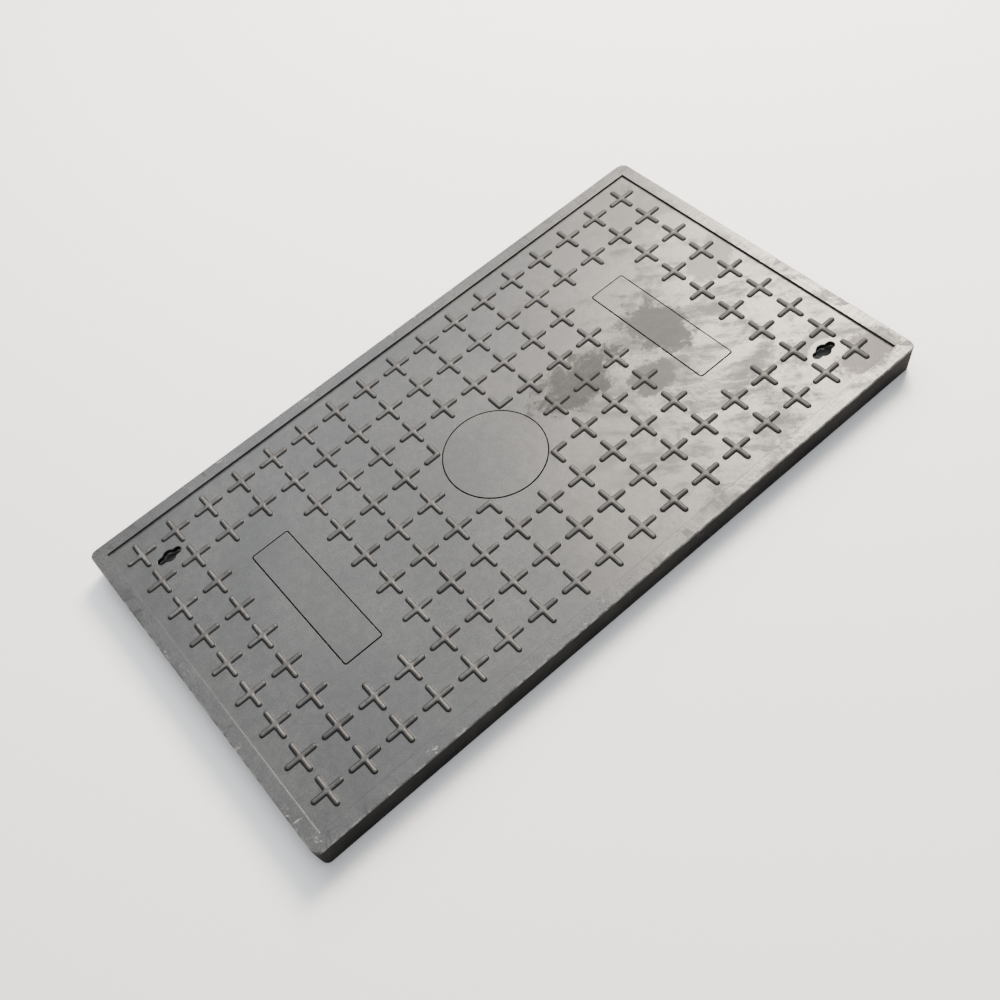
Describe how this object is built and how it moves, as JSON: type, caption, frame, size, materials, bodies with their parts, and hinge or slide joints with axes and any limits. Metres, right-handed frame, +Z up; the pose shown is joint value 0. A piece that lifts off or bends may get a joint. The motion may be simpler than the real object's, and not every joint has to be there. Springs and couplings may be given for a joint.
{
  "type": "manhole cover",
  "caption": "Rectangular ribbed composite manhole cover with a raised cross tread, blank inlays and keyholes at opposite corners for lifting.",
  "frame": {"origin": "on the ground plane, under the centre of the cover", "axes": "+X along the long side, +Y along the short side, +Z up out of the tread"},
  "size_m": [0.8998, 0.4998, 0.04],
  "materials": {
    "composite": "dark grey moulded resin composite, satin, with flow marks and worn edges",
    "inlay": "dark grey moulded resin composite, satin, smooth and blank",
    "plate_steel": "zinc-plated steel plate, dulled",
    "screw_steel": "zinc-plated steel screw",
    "bar_steel": "plain round steel bar, mill scale and light rust, cast in"
  },
  "bodies": {
    "root": {"deck": "composite", "centre_badge": "inlay", "nameplate_right": "inlay", "nameplate_left": "inlay", "key_plate_right": "plate_steel", "key_plate_left": "plate_steel", "key_plate_screws_right": "screw_steel", "key_plate_screws_left": "screw_steel", "long_bar_1": "bar_steel", "long_bar_2": "bar_steel", "long_bar_3": "bar_steel", "long_bar_4": "bar_steel", "long_bar_5": "bar_steel", "cross_bar_1": "bar_steel", "cross_bar_2": "bar_steel", "cross_bar_3": "bar_steel", "cross_bar_4": "bar_steel", "cross_bar_5": "bar_steel", "cross_bar_6": "bar_steel", "cross_bar_7": "bar_steel", "cross_bar_8": "bar_steel"}
  },
  "joints": []
}
